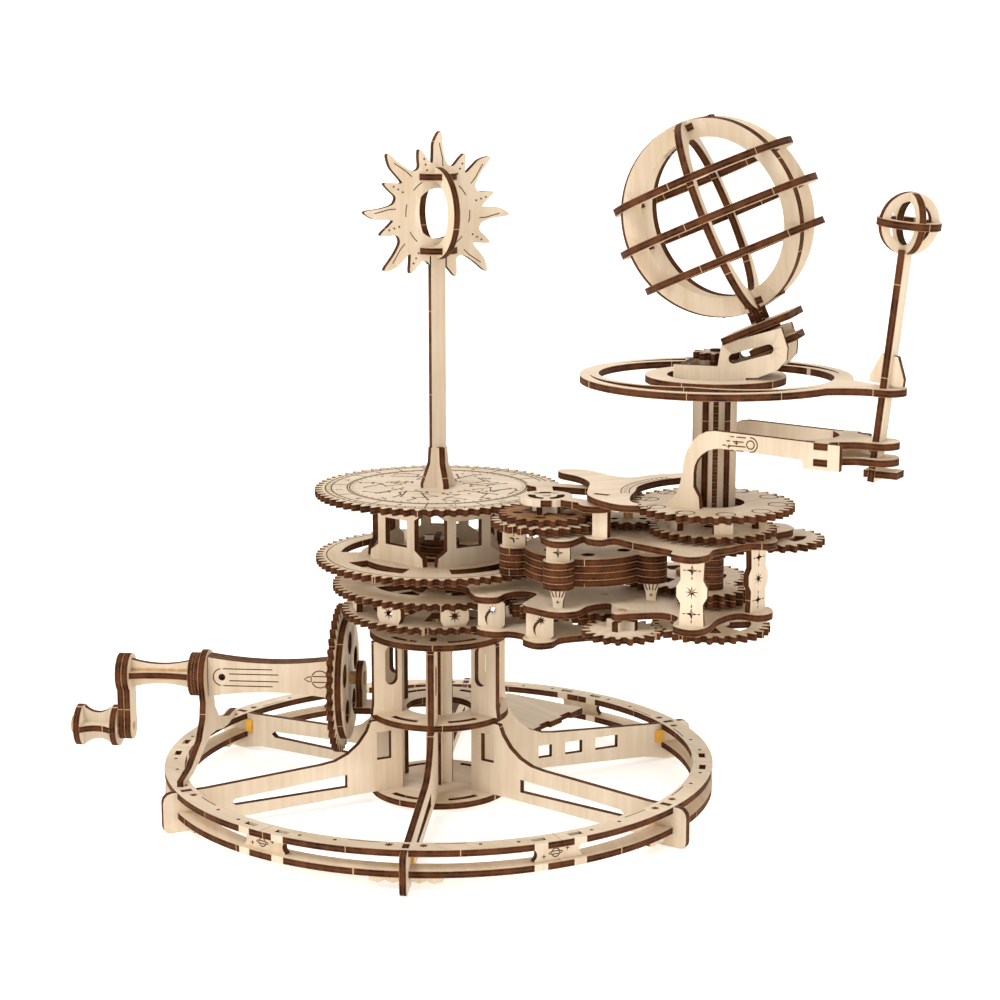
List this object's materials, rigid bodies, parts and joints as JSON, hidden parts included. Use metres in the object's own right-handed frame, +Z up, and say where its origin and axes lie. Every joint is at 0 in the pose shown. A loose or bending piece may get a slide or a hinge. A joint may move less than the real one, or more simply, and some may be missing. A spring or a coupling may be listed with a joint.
{
  "type": "mechanical orrery",
  "caption": "Hand-cranked plywood orrery: a crank turns a geared arm that carries a tilted, spinning Earth globe and its Moon around a fixed Sun on a round open base.",
  "frame": {"origin": "on the main axis, at the level that the feet stand on", "axes": "+Z up along the main axis; -X towards the hand crank; the arm at rest points 25.6 degrees from +X towards -Y"},
  "size_m": [0.379, 0.263, 0.3089],
  "materials": {
    "plywood": "bare birch plywood with burnt laser-cut edges",
    "band": "yellow rubber band"
  },
  "bodies": {
    "root": {"ring_lower": "plywood", "ring_upper": "plywood", "ring_connectors": "plywood", "leg_1": "plywood", "leg_2": "plywood", "leg_3": "plywood", "leg_4": "plywood", "leg_5": "plywood", "leg_6": "plywood", "leg_keys": "plywood", "rubber_bands": "band", "column_disc_low": "plywood", "column_disc_mid": "plywood", "column_disc_top": "plywood", "main_axle": "plywood", "axle_collars": "plywood", "back_plate": "plywood", "crank_bracket": "plywood", "crank_inner_bearing": "plywood", "fixed_gear": "plywood", "zodiac_disc": "plywood", "zodiac_pillars": "plywood", "sun_post": "plywood", "sun_flames": "plywood", "sun_ring": "plywood"},
    "crank": {"crank_gear": "plywood", "crank_inner_shaft": "plywood", "crank_outer_shaft": "plywood", "crank_arm": "plywood", "crank_pin": "plywood"},
    "knob": {"knob": "plywood"},
    "turntable": {"drive_gear": "plywood", "input_gear": "plywood", "turntable_plates": "plywood"},
    "arm": {"arm_plate_a": "plywood", "arm_plate_b": "plywood", "arm_plate_d": "plywood", "arm_plate_e": "plywood", "arm_plate_f": "plywood", "arm_pillars": "plywood", "gearbox_stack": "plywood", "arm_pins": "plywood"},
    "zodiac_pinion": {"zodiac_pinion": "plywood"},
    "moon_idler": {"moon_idler": "plywood"},
    "moon_carrier": {"moon_gear_low": "plywood", "moon_gear_high": "plywood", "moon_arches": "plywood", "moon_shelves": "plywood", "moon_post": "plywood", "moon_ball": "plywood", "moon_ring": "plywood"},
    "feed_gear": {"feed_gear": "plywood"},
    "feed_idler": {"feed_idler": "plywood"},
    "spin_idler": {"spin_idler": "plywood"},
    "spin_shaft": {"spin_shaft": "plywood"},
    "season_gear": {"season_gear": "plywood"},
    "back_gear": {"back_gear": "plywood"},
    "tilt_carrier": {"tilt_column": "plywood", "tilt_housing": "plywood"},
    "earth": {"earth_globe": "plywood"}
  },
  "joints": [
    {"name": "arm_orbit", "type": "hinge", "parent": "root", "child": "arm", "pos_m": [0, 0, 0.1045], "axis": [0, 0, 1], "continuous": true},
    {"name": "turntable_turn", "type": "hinge", "parent": "root", "child": "turntable", "pos_m": [0, 0, 0.093], "axis": [0, 0, 1], "continuous": true},
    {"name": "crank_turn", "type": "hinge", "parent": "root", "child": "crank", "pos_m": [-0.09, 0, 0.05352], "axis": [1, 0, 0], "continuous": true},
    {"name": "knob_spin", "type": "hinge", "parent": "crank", "child": "knob", "pos_m": [-0.1587, 0, 0.02802], "axis": [1, 0, 0], "continuous": true},
    {"name": "pinion_turn", "type": "hinge", "parent": "arm", "child": "zodiac_pinion", "pos_m": [0.05195, -0.05069, 0.14], "axis": [0, 0, 1], "continuous": true},
    {"name": "moon_idler_turn", "type": "hinge", "parent": "arm", "child": "moon_idler", "pos_m": [0.08643, -0.04416, 0.1385], "axis": [0, 0, 1], "continuous": true},
    {"name": "moon_orbit", "type": "hinge", "parent": "arm", "child": "moon_carrier", "pos_m": [0.12202, -0.05846, 0.1385], "axis": [0, 0, 1], "continuous": true},
    {"name": "feed_turn", "type": "hinge", "parent": "arm", "child": "feed_gear", "pos_m": [0.05095, -0.03385, 0.097], "axis": [0, 0, 1], "continuous": true},
    {"name": "feed_idler_turn", "type": "hinge", "parent": "arm", "child": "feed_idler", "pos_m": [0.07667, -0.0443, 0.097], "axis": [0, 0, 1], "continuous": true},
    {"name": "spin_idler_turn", "type": "hinge", "parent": "arm", "child": "spin_idler", "pos_m": [0.08512, -0.0716, 0.0965], "axis": [0, 0, 1], "continuous": true},
    {"name": "spin_shaft_turn", "type": "hinge", "parent": "arm", "child": "spin_shaft", "pos_m": [0.12202, -0.05846, 0.0965], "axis": [0, 0, 1], "continuous": true},
    {"name": "season_turn", "type": "hinge", "parent": "arm", "child": "season_gear", "pos_m": [0.11096, -0.02088, 0.1085], "axis": [0, 0, 1], "continuous": true},
    {"name": "back_gear_turn", "type": "hinge", "parent": "arm", "child": "back_gear", "pos_m": [0.14896, -0.04002, 0.1305], "axis": [0, 0, 1], "continuous": true},
    {"name": "tilt_carrier_turn", "type": "hinge", "parent": "arm", "child": "tilt_carrier", "pos_m": [0.12202, -0.05846, 0.15], "axis": [0, 0, 1], "continuous": true},
    {"name": "earth_spin", "type": "hinge", "parent": "tilt_carrier", "child": "earth", "pos_m": [0.12202, -0.05846, 0.268], "axis": [-0.3879, 0.0924, 0.9171], "continuous": true}
  ],
  "couplings": [
    {"joint": "turntable_turn", "follows": "arm_orbit", "ratio": 4},
    {"joint": "crank_turn", "follows": "arm_orbit", "ratio": 5.2},
    {"joint": "pinion_turn", "follows": "arm_orbit", "ratio": 2.8696},
    {"joint": "moon_idler_turn", "follows": "arm_orbit", "ratio": -4.8424},
    {"joint": "moon_orbit", "follows": "arm_orbit", "ratio": 2.4993},
    {"joint": "feed_turn", "follows": "arm_orbit", "ratio": -9.5},
    {"joint": "feed_idler_turn", "follows": "arm_orbit", "ratio": 10.688},
    {"joint": "spin_idler_turn", "follows": "arm_orbit", "ratio": -9},
    {"joint": "spin_shaft_turn", "follows": "arm_orbit", "ratio": 5.8966},
    {"joint": "season_turn", "follows": "arm_orbit", "ratio": 0.5},
    {"joint": "back_gear_turn", "follows": "arm_orbit", "ratio": 0.66667},
    {"joint": "tilt_carrier_turn", "follows": "arm_orbit", "ratio": -1},
    {"joint": "earth_spin", "follows": "arm_orbit", "ratio": 6.8966}
  ]
}
